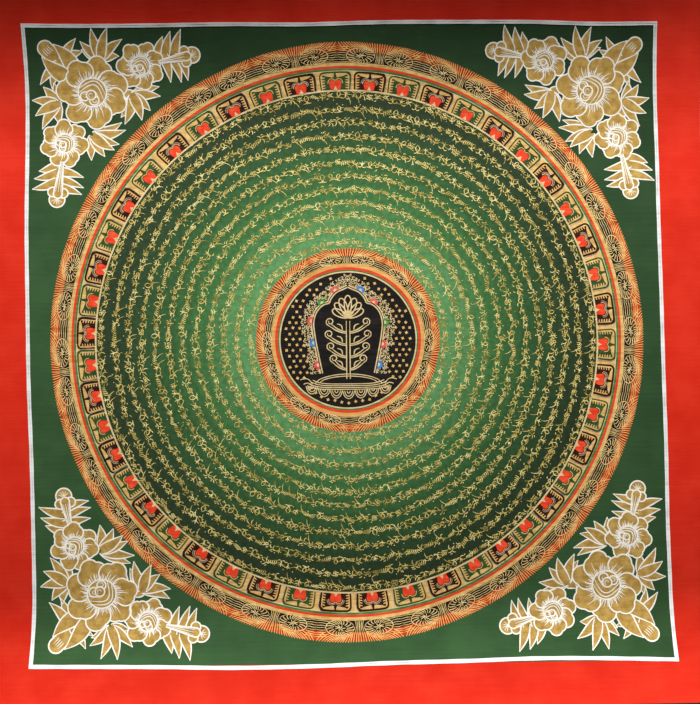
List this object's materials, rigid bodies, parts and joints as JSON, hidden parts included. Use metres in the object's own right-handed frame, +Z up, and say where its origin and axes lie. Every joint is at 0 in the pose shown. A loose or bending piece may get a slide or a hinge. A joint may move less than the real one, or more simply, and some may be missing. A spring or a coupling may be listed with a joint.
{
  "type": "painted mandala canvas",
  "caption": "Square painted cotton canvas with a ring mandala, lying flat in the middle with its head and foot curling up from being rolled.",
  "frame": {"origin": "centre of the bounding box at its base, on the surface that the canvas lies on", "axes": "+Z up out of the painted face, +Y towards the head of the painting, +X towards its right edge"},
  "size_m": [0.76, 0.7544, 0.0306],
  "materials": {
    "painted_cotton": "matt mineral paint on primed cotton"
  },
  "bodies": {
    "root": {"painted_canvas": "painted_cotton"}
  },
  "joints": []
}
